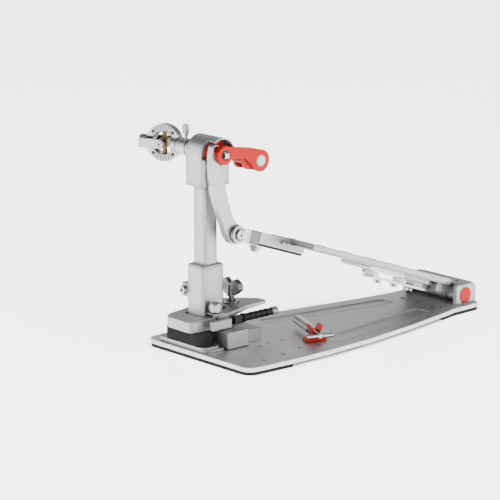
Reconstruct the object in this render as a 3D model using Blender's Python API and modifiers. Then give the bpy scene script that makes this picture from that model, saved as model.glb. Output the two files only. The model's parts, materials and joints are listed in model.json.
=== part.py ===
"""Direct-drive bass drum pedal (the slave side of a double set), modelled in metres.

The toe (drum side) faces -Y, the heel +Y, +X is the player's left, +Z is up.
The origin is on the floor, at the middle of the toe rubber's underside. Places below are
counted from the toe edge of the plate, and ORIGIN_Y moves the whole pedal at the end.
Every length below is in millimetres; MM turns it into metres.
"""
import math

import bmesh
import bpy
from mathutils import Matrix, Vector

MM = 0.001
GAP = 0.3                    # gap between pieces that touch

# Base plate and its rubber underlay
PLATE_LENGTH = 375.0
HEEL_NEAR = 57.0
HEEL_FAR = 42.0
PLATE_TOE = -6.5             # the plate reaches a little beyond the zero of the other places
RUBBER_TOP = 3.5
TOE_RUBBER_END = 56.0
HEEL_RUBBER_START = 308.0
ORIGIN_Y = TOE_RUBBER_END / 2
PLATE_BOTTOM = RUBBER_TOP + GAP
PLATE_TOP = 8.5
ON_PLATE = PLATE_TOP + GAP

# Post, head and axle
POST_X = -26.5
POST_Y = 33.0
SLEEVE_SIZE = (26.0, 30.0)
SLEEVE_BOTTOM = 28.3
SLEEVE_TOP = 95.5
POST_SIZE = (19.0, 18.0)
POST_FOOT = 60.0
HEAD_X = (-39.0, -14.0)
HEAD_BOTTOM = 181.0
HOOD_RADIUS = 18.0
HOOD_INNER = 16.4
HOOD_NEAR = -0.8
HOOD_TOE_END = 125.0           # degrees round the axle, from the heel direction over the top
CHEEK_NEAR = -9.7
AXLE_Y = 35.0
AXLE_Z = 216.5
AXLE_RADIUS = 4.0
AXLE_NEAR = 7.0

# Crank and drive link
CRANK_RADIUS = 11.0
CRANK_LIFT = math.radians(40.0)      # the crank pin rests this far above the toe direction
CRANK_PIN_RADIUS = 1.6
CRANK_WEB = 13.6
LINK_X = (-9.0, -1.0)
LINK_EYE = 4.6
TOE_PIVOT = (55.0, 128.0)

# Spring lever
LEVER_X = (-0.3, 4.5)
LEVER_DEEP_X = -15.0
LEVER_HUB = 10.0
LEVER_END = (85.0, 204.5)
LEVER_BOSS = 12.0

# Footboard
HINGE_Y = 357.0
HINGE_Z = 18.4
BOARD_SLOPE = math.radians(19.2)
BOARD_NEAR = 40.0
BOARD_FAR = -30.0
BOARD_TOP = 13.5             # height of its top face above the hinge centre, square to the board
BOARD_THICK = 7.2
BOARD_REACH = (17.0, 244.0)  # heel end and toe end, measured from the hinge
BARREL_RADIUS = 9.3
BAR_END = 291.5

# Hoop clamp
CLAMP_X = -25.0
JAW_PIVOT = (31.0, 36.0)
WING_XY = (-22.0, 66.0)

# Universal joint
JOINT_X = -95.0
RING_OUTER = 20.6
RING_INNER = 12.5
RING_HALF = 4.8
JOINT_FLEX = math.radians(23.0)      # the joint hangs turned this far about its upright pin

TAU = 2 * math.pi
PARTS = None
CUTTERS = None
MATERIALS = {}


# ---------------------------------------------------------------- helpers

def clear_scene():
    """Empty the scene, so that the script gives the same result each run."""
    for obj in list(bpy.data.objects):
        bpy.data.objects.remove(obj, do_unlink=True)


def new_collection(name):
    """Make a collection under the scene's root."""
    collection = bpy.data.collections.new(name)
    bpy.context.scene.collection.children.link(collection)
    return collection


def material(name, colour, roughness, metallic):
    """Make one Principled material and remember it by name."""
    made = bpy.data.materials.new(name)
    made.use_nodes = True
    shader = made.node_tree.nodes["Principled BSDF"]
    shader.inputs["Base Color"].default_value = (*colour, 1.0)
    shader.inputs["Roughness"].default_value = roughness
    shader.inputs["Metallic"].default_value = metallic
    MATERIALS[name] = made


def add_mesh(name, mesh_data, matrix=None):
    """Turn a bmesh into an object in the parts collection."""
    bmesh.ops.remove_doubles(mesh_data, verts=mesh_data.verts, dist=0.000001)
    bmesh.ops.recalc_face_normals(mesh_data, faces=mesh_data.faces)
    mesh = bpy.data.meshes.new(name)
    mesh_data.to_mesh(mesh)
    mesh_data.free()
    mesh.shade_smooth()
    mesh.set_sharp_from_angle(angle=math.radians(35))
    obj = bpy.data.objects.new(name, mesh)
    if matrix is not None:
        obj.matrix_world = matrix
    PARTS.objects.link(obj)
    return obj


def node(obj, name, finish):
    """Give a finished piece its name and its own material."""
    obj.name = name
    obj.data.name = name
    own = MATERIALS[finish].copy()
    own.name = name + "_finish"
    obj.data.materials.clear()
    obj.data.materials.append(own)
    return obj


def arc(centre, radius, start, end, steps=12):
    """Points on an arc, angles in degrees from the first axis."""
    points = []
    for i in range(steps + 1):
        angle = math.radians(start + (end - start) * i / steps)
        x = centre[0] + radius * math.cos(angle)
        y = centre[1] + radius * math.sin(angle)
        points.append((x, y))
    return points


def filleted(corners, steps=5):
    """Round each (a, b, radius) corner of a closed outline."""
    points = []
    for i, corner in enumerate(corners):
        here = Vector(corner[:2])
        radius = corner[2] if len(corner) > 2 else 0.0
        if radius <= 0:
            points.append(tuple(here))
            continue
        before = (Vector(corners[i - 1][:2]) - here).normalized()
        after = (Vector(corners[(i + 1) % len(corners)][:2]) - here).normalized()
        half = before.angle(after) / 2
        centre = here + (before + after).normalized() * (radius / math.sin(half))
        start = here + before * (radius / math.tan(half)) - centre
        end = here + after * (radius / math.tan(half)) - centre
        turn = math.pi - 2 * half
        for k in range(steps + 1):
            part = k / steps
            mix = start * math.sin((1 - part) * turn) + end * math.sin(part * turn)
            points.append(tuple(centre + mix / math.sin(turn)))
    return points


def plane_matrix(plane, middle):
    """Axes that lay a flat outline in the XY, YZ or XZ plane, with its middle at a depth."""
    if plane == "XY":
        return Matrix.Translation((0, 0, middle))
    if plane == "YZ":
        turn = Matrix(((0, 0, 1, 0), (1, 0, 0, 0), (0, 1, 0, 0), (0, 0, 0, 1)))
        return Matrix.Translation((middle, 0, 0)) @ turn
    turn = Matrix(((1, 0, 0, 0), (0, 0, -1, 0), (0, 1, 0, 0), (0, 0, 0, 1)))
    return Matrix.Translation((0, middle, 0)) @ turn


def prism(outline, span, plane="XY"):
    """A flat outline given its thickness between two depths."""
    curve = bpy.data.curves.new("outline", "CURVE")
    curve.dimensions = "2D"
    curve.fill_mode = "BOTH"
    curve.extrude = abs(span[1] - span[0]) * MM / 2
    spline = curve.splines.new("POLY")
    spline.points.add(len(outline) - 1)
    for point, (a, b) in zip(spline.points, outline):
        point.co = (a * MM, b * MM, 0, 1)
    spline.use_cyclic_u = True
    guide = bpy.data.objects.new("outline", curve)
    bpy.context.scene.collection.objects.link(guide)
    bpy.context.view_layer.update()
    graph = bpy.context.evaluated_depsgraph_get()
    mesh = bpy.data.meshes.new_from_object(guide.evaluated_get(graph))
    shape = bmesh.new()
    shape.from_mesh(mesh)
    bpy.data.objects.remove(guide, do_unlink=True)
    return add_mesh("prism", shape, plane_matrix(plane, (span[0] + span[1]) * MM / 2))


def box(low, high):
    """A box between two corners."""
    shape = bmesh.new()
    bmesh.ops.create_cube(shape, size=1.0)
    size = [(b - a) * MM for a, b in zip(low, high)]
    bmesh.ops.scale(shape, vec=size, verts=shape.verts)
    middle = [(a + b) * MM / 2 for a, b in zip(low, high)]
    return add_mesh("box", shape, Matrix.Translation(middle))


def rod(start, end, radius, sides=20, end_radius=None):
    """A round rod or cone between two points."""
    start = Vector(start) * MM
    end = Vector(end) * MM
    run = end - start
    shape = bmesh.new()
    far = radius if end_radius is None else end_radius
    bmesh.ops.create_cone(shape, cap_ends=True, segments=sides, radius1=radius * MM,
                          radius2=far * MM, depth=run.length)
    turn = run.to_track_quat("Z", "Y").to_matrix().to_4x4()
    return add_mesh("rod", shape, Matrix.Translation((start + end) / 2) @ turn)


def cross_rod(x_range, centre, radius, sides=20):
    """A rod along X at a (Y, Z) centre."""
    return rod((x_range[0], *centre), (x_range[1], *centre), radius, sides)


def soften(obj, width, segments=2, angle=40.0):
    """Round the sharp edges of a piece."""
    bevel = obj.modifiers.new("soft edges", "BEVEL")
    bevel.width = width * MM
    bevel.segments = segments
    bevel.limit_method = "ANGLE"
    bevel.angle_limit = math.radians(angle)
    return obj


def combine(obj, other, operation):
    """Join, cut or intersect a piece with another one, which becomes a hidden tool."""
    change = obj.modifiers.new(operation.lower(), "BOOLEAN")
    change.operation = operation
    change.object = other
    PARTS.objects.unlink(other)
    CUTTERS.objects.link(other)
    other.hide_render = True
    other.display_type = "WIRE"
    return obj


def cut(obj, *tools):
    """Cut tools out of a piece."""
    for tool in tools:
        combine(obj, tool, "DIFFERENCE")
    return obj


def join(obj, *tools):
    """Join tools to a piece."""
    for tool in tools:
        combine(obj, tool, "UNION")
    return obj


def pivot(name, location, pieces, parent=None):
    """An empty on a joint's axis that carries the pieces of one moving body."""
    empty = bpy.data.objects.new(name, None)
    empty.empty_display_size = 0.02
    PARTS.objects.link(empty)
    empty.matrix_world = Matrix.Translation(Vector(location) * MM)
    if parent is not None:
        empty.parent = parent
        empty.matrix_parent_inverse = parent.matrix_world.inverted()
    bpy.context.view_layer.update()
    for piece in pieces:
        piece.parent = empty
        piece.matrix_parent_inverse = Matrix.Translation(Vector(location) * MM).inverted()
    return empty


def along_board(s, n):
    """A (Y, Z) place from its distance along the footboard and its height square to it."""
    y = HINGE_Y - s * math.cos(BOARD_SLOPE) + n * math.sin(BOARD_SLOPE)
    z = HINGE_Z + s * math.sin(BOARD_SLOPE) + n * math.cos(BOARD_SLOPE)
    return (y, z)


def board_prism(corners, x_range):
    """A side outline in the footboard's own directions, made as wide as x_range."""
    points = [along_board(s, n) for s, n in filleted(corners)]
    return prism(points, x_range, "YZ")


def board_block(s_range, n_range, x_range, radius=0.0):
    """A block that lies along the footboard."""
    corners = [(s_range[0], n_range[0], radius), (s_range[1], n_range[0], radius),
               (s_range[1], n_range[1], radius), (s_range[0], n_range[1], radius)]
    return board_prism(corners, x_range)


# ---------------------------------------------------------------- base

def plate_outline(inset=0.0, start=PLATE_TOE, end=PLATE_LENGTH):
    """The waisted outline of the plate, or the strip of it between two distances from the toe."""
    knots = ((PLATE_TOE, 87.5, 81.0, 13.0), (60.0, 90.5, 79.0, 0.0), (106.0, 90.0, 76.0, 0.0),
             (171.0, 86.0, 67.0, 0.0), (244.0, 76.0, 53.5, 0.0), (300.0, 65.5, 45.0, 0.0),
             (331.0, 58.5, HEEL_FAR, 0.0), (PLATE_LENGTH, HEEL_NEAR, HEEL_FAR, 7.0))
    near, far = [], []
    for y, half_near, half_far, radius in knots:
        y = min(max(y, PLATE_TOE + inset), PLATE_LENGTH - inset)
        near.append((half_near - inset, y, radius))
        far.append((inset - half_far, y, radius))
    if start > PLATE_TOE:
        near = [(63.5 - inset, start, 3.0)] + near[6:]
        far = [(inset - 44.2, start, 3.0)] + far[6:]
    if end < PLATE_LENGTH:
        near = near[:1] + [(90.2 - inset, end, 3.0)]
        far = far[:1] + [(inset - 79.2, end, 3.0)]
    return filleted(near + far[::-1], 6)


def base_plate():
    """The aluminium plate, with a long recess along each side."""
    plate = soften(prism(plate_outline(), (PLATE_BOTTOM, PLATE_TOP)), 0.8, 2, 60)
    near = [(75.0, 128.0, 9.0), (50.0, 134.0, 9.0), (28.0, 303.0, 8.0), (54.0, 300.0, 8.0)]
    far = [(-55.0, 128.0, 9.0), (-35.0, 134.0, 7.0), (-6.0, 303.0, 6.0), (-27.0, 300.0, 8.0)]
    for recess in (near, far):
        cut(plate, prism(filleted(recess), (PLATE_TOP - 0.9, PLATE_TOP + 5)))
    return node(plate, "base_plate", "satin aluminium")


def rubber_feet():
    """The rubber underlay at the toe and at the heel."""
    toe = prism(plate_outline(0.6, PLATE_TOE, TOE_RUBBER_END), (0, RUBBER_TOP))
    heel = prism(plate_outline(0.6, HEEL_RUBBER_START), (0, RUBBER_TOP))
    return [node(toe, "toe_rubber", "black rubber"), node(heel, "heel_rubber", "black rubber")]


def plate_screws():
    """Low screw heads on the plate's top."""
    places = {"toe_near": (68, 60), "toe_far": (-68, 60), "heel_near": (46, 322), "heel_far": (-16, 322)}
    for place, (x, y) in places.items():
        screw = rod((x, y, ON_PLATE), (x, y, ON_PLATE + 0.8), 2.5, 16, 1.8)
        node(screw, "plate_screw_" + place, "chrome")


def pedestal():
    """The block under the post, with a lower step behind it."""
    front = soften(box((-56, 25, ON_PLATE), (20, 55, 28)), 1.4)
    rear = box((-48, 54, ON_PLATE), (10, 80, 22.5))
    return node(join(front, rear), "pedestal", "satin aluminium")


def clamp_base():
    """The stepped plate that the hoop rests on."""
    lower = prism(filleted([(-62, -2, 9), (15, -2, 9), (15, 24.6, 3), (-62, 24.6, 3)]),
                  (ON_PLATE, 11.2))
    upper = prism(filleted([(-66, -3.5, 9), (12, -3.5, 9), (12, 22, 6), (-66, 22, 6)]),
                  (11.0, 13.8))
    return node(join(lower, upper), "clamp_base_plate", "satin aluminium")


# ---------------------------------------------------------------- post and head

def post_parts():
    """The sleeve, the post that slides in it, and the screw that locks them."""
    half_x, half_y = SLEEVE_SIZE[0] / 2, SLEEVE_SIZE[1] / 2
    sleeve = box((POST_X - half_x, POST_Y - half_y, SLEEVE_BOTTOM),
                 (POST_X + half_x, POST_Y + half_y, SLEEVE_TOP))
    soften(sleeve, 2.6, 2, 60)
    ear = soften(box((-48.5, 18, 57), (-37, 33, 73)), 1.5)
    half_px, half_py = POST_SIZE[0] / 2, POST_SIZE[1] / 2
    bore = box((POST_X - half_px - GAP, POST_Y - half_py - GAP, POST_FOOT),
               (POST_X + half_px + GAP, POST_Y + half_py + GAP, SLEEVE_TOP + 10))
    join(sleeve, ear)
    cut(sleeve, bore, rod((-43.5, 10, 65), (-43.5, 28.5, 65), 2.5 + GAP, 14))
    post = box((POST_X - half_px, POST_Y - half_py, POST_FOOT + GAP),
               (POST_X + half_px, POST_Y + half_py, HEAD_BOTTOM - GAP))
    soften(post, 2.2, 2, 60)
    screw = rod((-43.5, 28.0, 65), (-43.5, 15.0, 65), 2.5, 14)
    head = soften(rod((-43.5, 17.7, 65), (-43.5, 13.6, 65), 4.8, 20), 0.6)
    socket = rod((-43.5, 16.5, 65), (-43.5, 10.0, 65), 2.1, 6)
    join(screw, head)
    cut(screw, socket)
    return [node(sleeve, "post_sleeve", "satin aluminium"), node(post, "post", "satin aluminium"),
            node(screw, "post_height_screw", "chrome")]


def head_outline():
    """Side view of the head: a square foot with a round top about the axle."""
    foot = [(AXLE_Y - HOOD_RADIUS, HEAD_BOTTOM), (AXLE_Y + HOOD_RADIUS, HEAD_BOTTOM)]
    return foot + arc((AXLE_Y, AXLE_Z), HOOD_RADIUS, 0, 180, 24)


def head():
    """The bearing head with the hood that reaches over the crank."""
    block = soften(prism(head_outline(), HEAD_X, "YZ"), 1.8, 2, 50)
    cut(block, cross_rod((HEAD_X[0] - 1, HEAD_X[0] + 6.0), (AXLE_Y, AXLE_Z), 11.3, 32))
    cut(block, cross_rod((HEAD_X[1] - 6.0, HEAD_X[1] + 1), (AXLE_Y, AXLE_Z), 11.3, 32))
    cut(block, cross_rod((HEAD_X[0] - 5, HEAD_X[1] + 5), (AXLE_Y, AXLE_Z), 6.5, 24))
    centre = (AXLE_Y, AXLE_Z)
    arch = arc(centre, HOOD_RADIUS, -20, HOOD_TOE_END, 24) + arc(centre, HOOD_INNER, HOOD_TOE_END, -20, 24)
    hood = prism(arch, (HEAD_X[1] - 3.0, HOOD_NEAR), "YZ")
    cheek = box((HEAD_X[1] - 0.5, AXLE_Y - HOOD_RADIUS, HEAD_BOTTOM),
                (CHEEK_NEAR, AXLE_Y + HOOD_RADIUS, AXLE_Z - 4.5))
    soften(cheek, 1.8, 2, 50)
    cut(cheek, cross_rod((HEAD_X[1] - 2, 0), centre, CRANK_WEB + 0.9, 40))
    return node(join(block, cheek, hood), "head", "satin aluminium")


def axle_bearings():
    """Two ring bearings sunk in the head."""
    made = []
    for name, x in (("axle_bearing_far", (HEAD_X[0] + 0.3, HEAD_X[0] + 5.6)),
                    ("axle_bearing_near", (HEAD_X[1] - 5.6, HEAD_X[1] - 0.3))):
        ring = cross_rod(x, (AXLE_Y, AXLE_Z), 11.0, 32)
        cut(ring, cross_rod((x[0] - 5, x[1] + 5), (AXLE_Y, AXLE_Z), AXLE_RADIUS + GAP, 24))
        made.append(node(ring, name, "bearing steel"))
    return made


# ---------------------------------------------------------------- rocker

def crank_pin_place():
    """Centre of the crank pin at rest."""
    y = AXLE_Y - CRANK_RADIUS * math.cos(CRANK_LIFT)
    z = AXLE_Z + CRANK_RADIUS * math.sin(CRANK_LIFT)
    return (y, z)


def axle():
    """The axle, round through the head and square at its near end."""
    bar = cross_rod((-72.5, LEVER_X[1] - 1.0), (AXLE_Y, AXLE_Z), AXLE_RADIUS, 24)
    end = box((LEVER_X[1] - 3.0, AXLE_Y - 2.8, AXLE_Z - 2.8), (AXLE_NEAR, AXLE_Y + 2.8, AXLE_Z + 2.8))
    return node(join(bar, end), "axle", "chrome")


def crank():
    """The crank web beside the head, with its pin."""
    web = cross_rod((HEAD_X[1] + 0.6, LINK_X[0] - 0.4), (AXLE_Y, AXLE_Z), CRANK_WEB, 40)
    pin = cross_rod((HEAD_X[1] + 2.0, LINK_X[1] - 0.6), crank_pin_place(), CRANK_PIN_RADIUS, 16)
    join(web, pin)
    cut(web, cross_rod((HEAD_X[1] - 5, LINK_X[0] + 5), (AXLE_Y, AXLE_Z), AXLE_RADIUS + GAP, 24))
    return node(web, "crank", "red anodised")


def lever_neck_outline():
    """Side view of the near cheek: a hub ring, a neck and the end boss."""
    hub = arc((AXLE_Y, AXLE_Z), LEVER_HUB, 65, 330, 28)
    boss = arc(LEVER_END, LEVER_BOSS, 215, 445, 24)
    return hub + [(63.5, 209.0)] + boss


def spring_lever():
    """The red lever: its hub on the axle, a deep channel behind the near cheek."""
    cheek = soften(prism(lever_neck_outline(), LEVER_X, "YZ"), 0.7, 2, 50)
    roof = [(58, 220.3), (60, 207, 2), (65, 197.5, 3)] + arc(LEVER_END, LEVER_BOSS - 0.3, 235, 438, 20)
    deep = prism(filleted(roof, 3), (LEVER_DEEP_X, LEVER_X[0] + 2.0), "YZ")
    pocket = box((LEVER_DEEP_X + 3.5, 61.5, 190), (LEVER_X[0] - 0.2, 73.5, 212))
    cut(deep, pocket)
    join(cheek, deep)
    cut(cheek, cross_rod((-30, 20), (AXLE_Y, AXLE_Z), AXLE_RADIUS + GAP, 24))
    cut(cheek, cross_rod((-30, 20), LEVER_END, 5.2 + GAP, 24))
    return node(cheek, "spring_lever", "red anodised")


def lever_pin():
    """The pin through the lever's end boss."""
    pin = soften(cross_rod((LEVER_DEEP_X - 0.6, LEVER_X[1] + 0.7), LEVER_END, 5.2, 24), 0.5)
    return node(pin, "spring_lever_pin", "chrome")


def axle_collar():
    """The collar that clamps the universal joint to the axle, with its upright thumbscrew."""
    collar = soften(cross_rod((-71.0, -47.0), (AXLE_Y, AXLE_Z), 9.6, 28), 0.8)
    waist = cross_rod((-49.0, HEAD_X[0] - 0.7), (AXLE_Y, AXLE_Z), 7.0, 24)
    join(collar, waist)
    cut(collar, cross_rod((-90, -20), (AXLE_Y, AXLE_Z), AXLE_RADIUS + GAP, 24))
    cut(collar, rod((-60, AXLE_Y, AXLE_Z + 3), (-60, AXLE_Y, AXLE_Z + 20), 2.0 + GAP, 14))
    screw = rod((-60, AXLE_Y, AXLE_Z + 4.6), (-60, AXLE_Y, AXLE_Z + 16), 2.0, 14)
    knob = rod((-60, AXLE_Y, AXLE_Z + 13), (-60, AXLE_Y, AXLE_Z + 24.5), 3.4, 20)
    return [node(collar, "axle_collar", "chrome"), node(join(screw, soften(knob, 0.5)), "thumbscrew", "chrome")]


def flexed(obj):
    """Turn a piece about the universal joint's upright pin."""
    centre = Vector((JOINT_X, AXLE_Y, AXLE_Z)) * MM
    turn = Matrix.Translation(centre) @ Matrix.Rotation(JOINT_FLEX, 4, "Z") @ Matrix.Translation(-centre)
    obj.matrix_world = turn @ obj.matrix_world
    return obj


def ring_yoke():
    """The ring-shaped yoke, joined to a short neck on the axle's end."""
    centre = (JOINT_X, AXLE_Z)
    profile = prism(arc(centre, RING_OUTER, 0, 360 - 10, 35), (AXLE_Y - RING_HALF, AXLE_Y + RING_HALF), "XZ")
    soften(profile, 1.6, 2, 50)
    hole = prism(arc(centre, RING_INNER, 0, 360 - 12, 29), (AXLE_Y - 20, AXLE_Y + 20), "XZ")
    neck = cross_rod((JOINT_X + RING_INNER + 1.5, -71.4), (AXLE_Y, AXLE_Z), 7.0, 24)
    join(flexed(profile), neck)
    cut(profile, flexed(hole))
    cut(profile, cross_rod((-73.0, -60.0), (AXLE_Y, AXLE_Z), AXLE_RADIUS + GAP, 24))
    for side in (1, -1):
        start = (JOINT_X, AXLE_Y, AXLE_Z + side * (RING_INNER - 3))
        end = (JOINT_X, AXLE_Y, AXLE_Z + side * (RING_INNER + 5))
        cut(profile, rod(start, end, 2.6 + GAP, 16))
    return node(profile, "ujoint_ring", "chrome")


def joint_cross():
    """The cross of the universal joint: one pin upright, one pin through the fork."""
    middle = soften(box((JOINT_X - 5, AXLE_Y - 5, AXLE_Z - 5), (JOINT_X + 5, AXLE_Y + 5, AXLE_Z + 5)), 1.0)
    upright = rod((JOINT_X, AXLE_Y, AXLE_Z - RING_INNER - 3.5), (JOINT_X, AXLE_Y, AXLE_Z + RING_INNER + 3.5), 2.6, 16)
    level = rod((JOINT_X, AXLE_Y - 13.6, AXLE_Z), (JOINT_X, AXLE_Y + 13.6, AXLE_Z), 2.6, 16)
    return node(join(flexed(middle), upright, flexed(level)), "ujoint_cross", "brass")


def joint_fork():
    """The outer fork with the stub that takes the drive shaft."""
    stub = soften(cross_rod((JOINT_X - 29.0, JOINT_X - 23.0), (AXLE_Y, AXLE_Z), 7.3, 24), 0.8)
    bridge = soften(box((JOINT_X - 26, AXLE_Y - 14.2, AXLE_Z - 5), (JOINT_X - 22.2, AXLE_Y + 14.2, AXLE_Z + 5)), 1.2)
    join(flexed(stub), flexed(bridge))
    for side in (1, -1):
        inner, outer = sorted((AXLE_Y + side * 10.6, AXLE_Y + side * 14.2))
        blade = [(JOINT_X - 25, AXLE_Z - 5), (JOINT_X, AXLE_Z - 5)]
        blade += arc((JOINT_X, AXLE_Z), 5.0, -90, 90, 10) + [(JOINT_X - 25, AXLE_Z + 5)]
        join(stub, flexed(prism(blade, (inner, outer), "XZ")))
    cut(stub, flexed(rod((JOINT_X, AXLE_Y - 30, AXLE_Z), (JOINT_X, AXLE_Y + 30, AXLE_Z), 2.6 + GAP, 16)))
    cut(stub, flexed(cross_rod((JOINT_X - 60, JOINT_X - 22), (AXLE_Y, AXLE_Z), 3.2, 6)))
    return node(stub, "ujoint_fork", "chrome")


# ---------------------------------------------------------------- drive link

def drive_link():
    """The curved link that pulls the crank down from the footboard's toe."""
    pin = crank_pin_place()
    low = TOE_PIVOT
    front = [(pin[0] - LINK_EYE - 1.2, pin[1] - 6.0), (19.6, 205.0), (20.4, 190.0), (24.5, 172.0),
             (30.2, 155.0), (36.0, 141.0), (40.0, 130.0)]
    back = [(63.5, 134.5), (56.0, 139.0), (50.5, 146.5), (46.8, 155.0), (42.0, 170.5), (38.2, 186.0),
            (34.0, 198.0), (29.8, 209.0), (29.8, 217.0)]
    foot = arc((low[0] - 0.5, low[1] - 0.5), 11.4, 205, 330, 14)
    outline = arc(pin, LINK_EYE, 0, 180, 10) + front + foot + back
    link = soften(prism(outline, LINK_X, "YZ"), 0.8, 2, 50)
    cut(link, cross_rod((-20, 10), pin, CRANK_PIN_RADIUS + 1.7, 16))
    cut(link, cross_rod((-20, 10), low, 3.0 + GAP, 16))
    return node(link, "drive_link", "satin aluminium")


# ---------------------------------------------------------------- footboard

def footboard_parts():
    """Everything that turns with the footboard about the heel hinge."""
    top, bottom = BOARD_TOP, BOARD_TOP - BOARD_THICK
    board = soften(board_block(BOARD_REACH, (bottom, top), (BOARD_FAR, BOARD_NEAR), 1.5), 0.8, 2, 60)
    parts = [node(board, "footboard", "satin aluminium")]

    barrel = cross_rod((-30.2, 44.2), (HINGE_Y, HINGE_Z), BARREL_RADIUS, 32)
    web = board_block((4, 33), (-3.5, bottom - GAP), (-26, 34), 2.0)
    join(barrel, web)
    cut(barrel, cross_rod((-60, 60), (HINGE_Y, HINGE_Z), 4.0 + GAP, 24))
    for x in (-26.0, 40.0):
        cut(barrel, rod((x, *along_board(14, 0)), (x, *along_board(6.5, 0)), 1.6, 12))
    parts.append(node(barrel, "hinge_barrel", "satin aluminium"))

    plate = board_block((34, 138), (1.2, bottom - GAP), (-20, 28), 1.0)
    parts.append(node(soften(plate, 0.5), "stiffener_plate", "chrome"))
    strip = board_block((34, 128), (-7.0, -4.0), (8, 24), 0.6)
    for s in (40, 76, 122):
        join(strip, board_block((s - 4, s + 4), (-5.0, 0.9), (9, 23), 0.5))
    parts.append(node(strip, "adjuster_strip", "chrome"))

    for number, s in enumerate((56, 84, 110), 1):
        start, end = along_board(s, -7.3), along_board(s, -11.0)
        bolt = soften(rod((16, *start), (16, *end), 4.2, 16), 0.5)
        parts.append(node(bolt, f"adjuster_bolt_{number}", "chrome"))
    start, end = along_board(100, 0.9), along_board(100, -3.0)
    parts.append(node(soften(rod((-16, *start), (-16, *end), 4.4, 6), 0.3), "stiffener_nut", "chrome"))

    bar = [(222, 0.5, 1), (BAR_END, 0.5, 1), (BAR_END, 12.6, 1), (244.3, 12.6, 1), (244.3, bottom - GAP, 0),
           (222, bottom - GAP, 1)]
    bar = soften(board_prism(bar, (-14.5, 4.5)), 0.5)
    parts.append(node(bar, "extension_bar", "satin aluminium"))
    parts.append(node(board_block((222, BAR_END - 0.2), (-2.6, 0.2), (-11, 2), 1.0), "extension_rail", "dark steel"))

    for number, s in enumerate((250.5, 256.5), 1):
        start, end = (4.8, *along_board(s, 7)), (7.5, *along_board(s, 7))
        parts.append(node(rod(start, end, 2.4, 16), f"extension_pin_{number}", "chrome"))
    return parts + toe_bracket_parts()


def toe_bracket_parts():
    """The fork at the footboard's toe, its bearing screw, and the clamp block behind it."""
    block = board_block((BAR_END + 0.3, 305.0), (-3.0, 12.0), (-14.0, 4.0), 1.5)
    parts = [node(soften(block, 0.5), "bracket_block", "dark steel")]
    near = arc(TOE_PIVOT, 9.5, 0, 360 - 12, 29)
    root = [along_board(305.3, -3.5), along_board(305.3, 11.5), along_board(322, 13.0), along_board(322, -4.5)]
    fork = prism(root, (-14.0, -10.0), "YZ")
    join(fork, prism(near, (-14.0, -10.0), "YZ"))
    join(fork, prism(root, (0.0, 4.0), "YZ"), prism(near, (0.0, 4.0), "YZ"))
    join(fork, board_block((305.3, 309.0), (-3.5, 11.5), (-12, 2)))
    cut(fork, cross_rod((-30, 20), TOE_PIVOT, 3.0 + GAP, 20))
    parts.append(node(fork, "toe_bracket", "chrome"))
    screw = cross_rod((-15.5, 5.0), TOE_PIVOT, 3.0, 20)
    head = soften(cross_rod((4.3, 6.8), TOE_PIVOT, 5.4, 24), 0.5)
    join(screw, head)
    cut(screw, cross_rod((5.2, 20), TOE_PIVOT, 2.2, 6))
    parts.append(node(screw, "link_bearing_screw", "chrome"))
    flange = rod((-2, *along_board(289, -3.3)), (-2, *along_board(289, -6.0)), 6.5, 24)
    nut = rod((-2, *along_board(289, -5.5)), (-2, *along_board(289, -10.0)), 5.2, 6)
    parts.append(node(join(flange, nut), "bracket_nut", "dark steel"))
    return parts


def heel_block():
    """The fixed heel bearing block: two cheeks and a cross bar."""
    side = [(343, ON_PLATE, 0), (374, ON_PLATE, 0), (374, 31, 5), (343, 31, 1.5)]
    block = prism(filleted(side), (44.6, 50.0), "YZ")
    join(block, prism(filleted(side), (-36.0, -30.6), "YZ"))
    rear = [(367.6, ON_PLATE, 0), (374, ON_PLATE, 0), (374, 31, 5), (367.6, 31, 0)]
    join(block, prism(filleted(rear), (-32.0, 46.0), "YZ"))
    join(block, box((-32.0, 352.0, 28.1), (46.0, 372.0, 31.0)))
    soften(block, 0.7, 2, 60)
    cut(block, cross_rod((-70, 70), (HINGE_Y, HINGE_Z), 4.0 + GAP, 24))
    cut(block, cross_rod((48.2, 60), (HINGE_Y, HINGE_Z), 9.0 + GAP, 32))
    cut(block, cross_rod((-60, -34.2), (HINGE_Y, HINGE_Z), 9.0 + GAP, 32))
    return node(block, "heel_block", "satin aluminium")


def heel_axle_and_caps():
    """The heel hinge pin and the red cap over each of its bearings."""
    pin = cross_rod((-33.9, 47.9), (HINGE_Y, HINGE_Z), 4.0, 24)
    made = [node(pin, "heel_hinge_pin", "bearing steel")]
    for name, x in (("bearing_cap_near", (48.5, 50.8)), ("bearing_cap_far", (-36.8, -34.5))):
        cap = soften(cross_rod(x, (HINGE_Y, HINGE_Z), 9.0, 32), 0.7)
        made.append(node(cap, name, "red anodised"))
    return made


# ---------------------------------------------------------------- hoop clamp

def jaw_lever():
    """The clamp's upper lever: a round-nosed jaw in front, a tail behind the post."""
    side = [(-8, 27.3), (18, 27.3), (24, 32.0), (52, 40.0), (95, 47.2), (95, 50.0), (58, 46.5),
            (22, 40.6), (-8, 38.5)]
    plan = filleted([(-51, -5, 11), (-4.5, -6, 9), (-3.5, 14, 6), (-2, 27, 4), (2.5, 50, 14), (1, 68, 10),
                     (6, 93, 3), (-8, 92, 6), (-30, 78, 12), (-50, 60, 8), (-53, 14, 8)])
    lever = prism(side, (-60, 12), "YZ")
    combine(lever, prism(plan, (20, 60)), "INTERSECT")
    window = filleted([(-42, 15.8, 2), (-11.8, 15.8, 2), (-11.8, 51.5, 2), (-42, 51.5, 2)], 2)
    cut(lever, prism(window, (15, 70)))
    cut(lever, rod((*WING_XY, 20), (*WING_XY, 70), 5.2, 20))
    cut(lever, rod((-4.8, 28, 20), (-4.8, 28, 70), 3.0 + GAP, 16))
    return node(soften(lever, 0.5, 1, 50), "clamp_jaw", "satin aluminium")


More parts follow.
